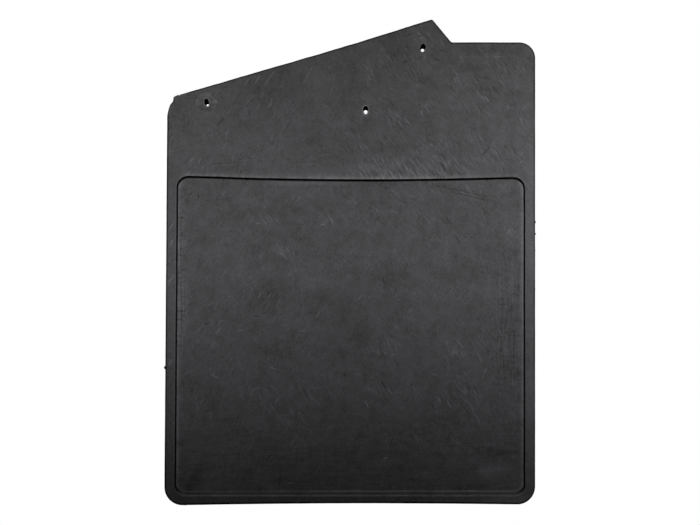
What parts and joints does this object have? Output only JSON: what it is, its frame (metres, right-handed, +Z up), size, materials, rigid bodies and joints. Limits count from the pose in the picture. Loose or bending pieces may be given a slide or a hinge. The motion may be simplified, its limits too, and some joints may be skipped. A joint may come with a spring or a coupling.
{
  "type": "mud flap",
  "caption": "Flat rubber mud flap with a slanted top edge, a bolt-on web with clearance holes and a thin recessed panel in a thick border, bending back and forth.",
  "frame": {"origin": "centre of the middle bolt hole at the flap's flat back face", "axes": "+Z up, the way the flap hangs; +Y out of the flat back face, towards the vehicle part it bolts to; the recessed front face looks along -Y; +X to the right seen from the front"},
  "size_m": [0.3808, 0.008, 0.4985],
  "materials": {
    "rubber": "matte, as moulded"
  },
  "bodies": {
    "mounting_web": {"mounting_web": "rubber"},
    "neck_strip": {"neck_strip": "rubber"},
    "panel_strip_1": {"panel_strip_1": "rubber"},
    "panel_strip_2": {"panel_strip_2": "rubber"},
    "panel_strip_3": {"panel_strip_3": "rubber"},
    "panel_strip_4": {"panel_strip_4": "rubber"},
    "panel_strip_5": {"panel_strip_5": "rubber"},
    "panel_strip_6": {"panel_strip_6": "rubber"},
    "panel_strip_7": {"panel_strip_7": "rubber"},
    "panel_strip_8": {"panel_strip_8": "rubber"},
    "panel_strip_9": {"panel_strip_9": "rubber"},
    "panel_strip_10": {"panel_strip_10": "rubber"},
    "bottom_strip": {"bottom_strip": "rubber"}
  },
  "joints": [
    {"name": "flex_1", "type": "hinge", "parent": "mounting_web", "child": "neck_strip", "pos_m": [0, -0.004, -0.034], "axis": [1, 0, 0], "range_deg": [-7.5, 7.5], "stiffness_Nm_per_rad": 2.6},
    {"name": "flex_2", "type": "hinge", "parent": "neck_strip", "child": "panel_strip_1", "pos_m": [0, -0.004, -0.06475], "axis": [1, 0, 0], "range_deg": [-7.5, 7.5], "stiffness_Nm_per_rad": 2.6},
    {"name": "flex_3", "type": "hinge", "parent": "panel_strip_1", "child": "panel_strip_2", "pos_m": [0, -0.00265, -0.0955], "axis": [1, 0, 0], "range_deg": [-7.5, 7.5], "stiffness_Nm_per_rad": 0.82},
    {"name": "flex_4", "type": "hinge", "parent": "panel_strip_2", "child": "panel_strip_3", "pos_m": [0, -0.00265, -0.12625], "axis": [1, 0, 0], "range_deg": [-7.5, 7.5], "stiffness_Nm_per_rad": 0.82},
    {"name": "flex_5", "type": "hinge", "parent": "panel_strip_3", "child": "panel_strip_4", "pos_m": [0, -0.00265, -0.157], "axis": [1, 0, 0], "range_deg": [-7.5, 7.5], "stiffness_Nm_per_rad": 0.82},
    {"name": "flex_6", "type": "hinge", "parent": "panel_strip_4", "child": "panel_strip_5", "pos_m": [0, -0.00265, -0.18775], "axis": [1, 0, 0], "range_deg": [-7.5, 7.5], "stiffness_Nm_per_rad": 0.82},
    {"name": "flex_7", "type": "hinge", "parent": "panel_strip_5", "child": "panel_strip_6", "pos_m": [0, -0.00265, -0.2185], "axis": [1, 0, 0], "range_deg": [-7.5, 7.5], "stiffness_Nm_per_rad": 0.82},
    {"name": "flex_8", "type": "hinge", "parent": "panel_strip_6", "child": "panel_strip_7", "pos_m": [0, -0.00265, -0.24925], "axis": [1, 0, 0], "range_deg": [-7.5, 7.5], "stiffness_Nm_per_rad": 0.82},
    {"name": "flex_9", "type": "hinge", "parent": "panel_strip_7", "child": "panel_strip_8", "pos_m": [0, -0.00264, -0.28], "axis": [1, 0, 0], "range_deg": [-7.5, 7.5], "stiffness_Nm_per_rad": 0.82},
    {"name": "flex_10", "type": "hinge", "parent": "panel_strip_8", "child": "panel_strip_9", "pos_m": [0, -0.00264, -0.31075], "axis": [1, 0, 0], "range_deg": [-7.5, 7.5], "stiffness_Nm_per_rad": 0.82},
    {"name": "flex_11", "type": "hinge", "parent": "panel_strip_9", "child": "panel_strip_10", "pos_m": [0, -0.00264, -0.3415], "axis": [1, 0, 0], "range_deg": [-7.5, 7.5], "stiffness_Nm_per_rad": 0.82},
    {"name": "flex_12", "type": "hinge", "parent": "panel_strip_10", "child": "bottom_strip", "pos_m": [0, -0.00264, -0.37225], "axis": [1, 0, 0], "range_deg": [-7.5, 7.5], "stiffness_Nm_per_rad": 0.82}
  ]
}
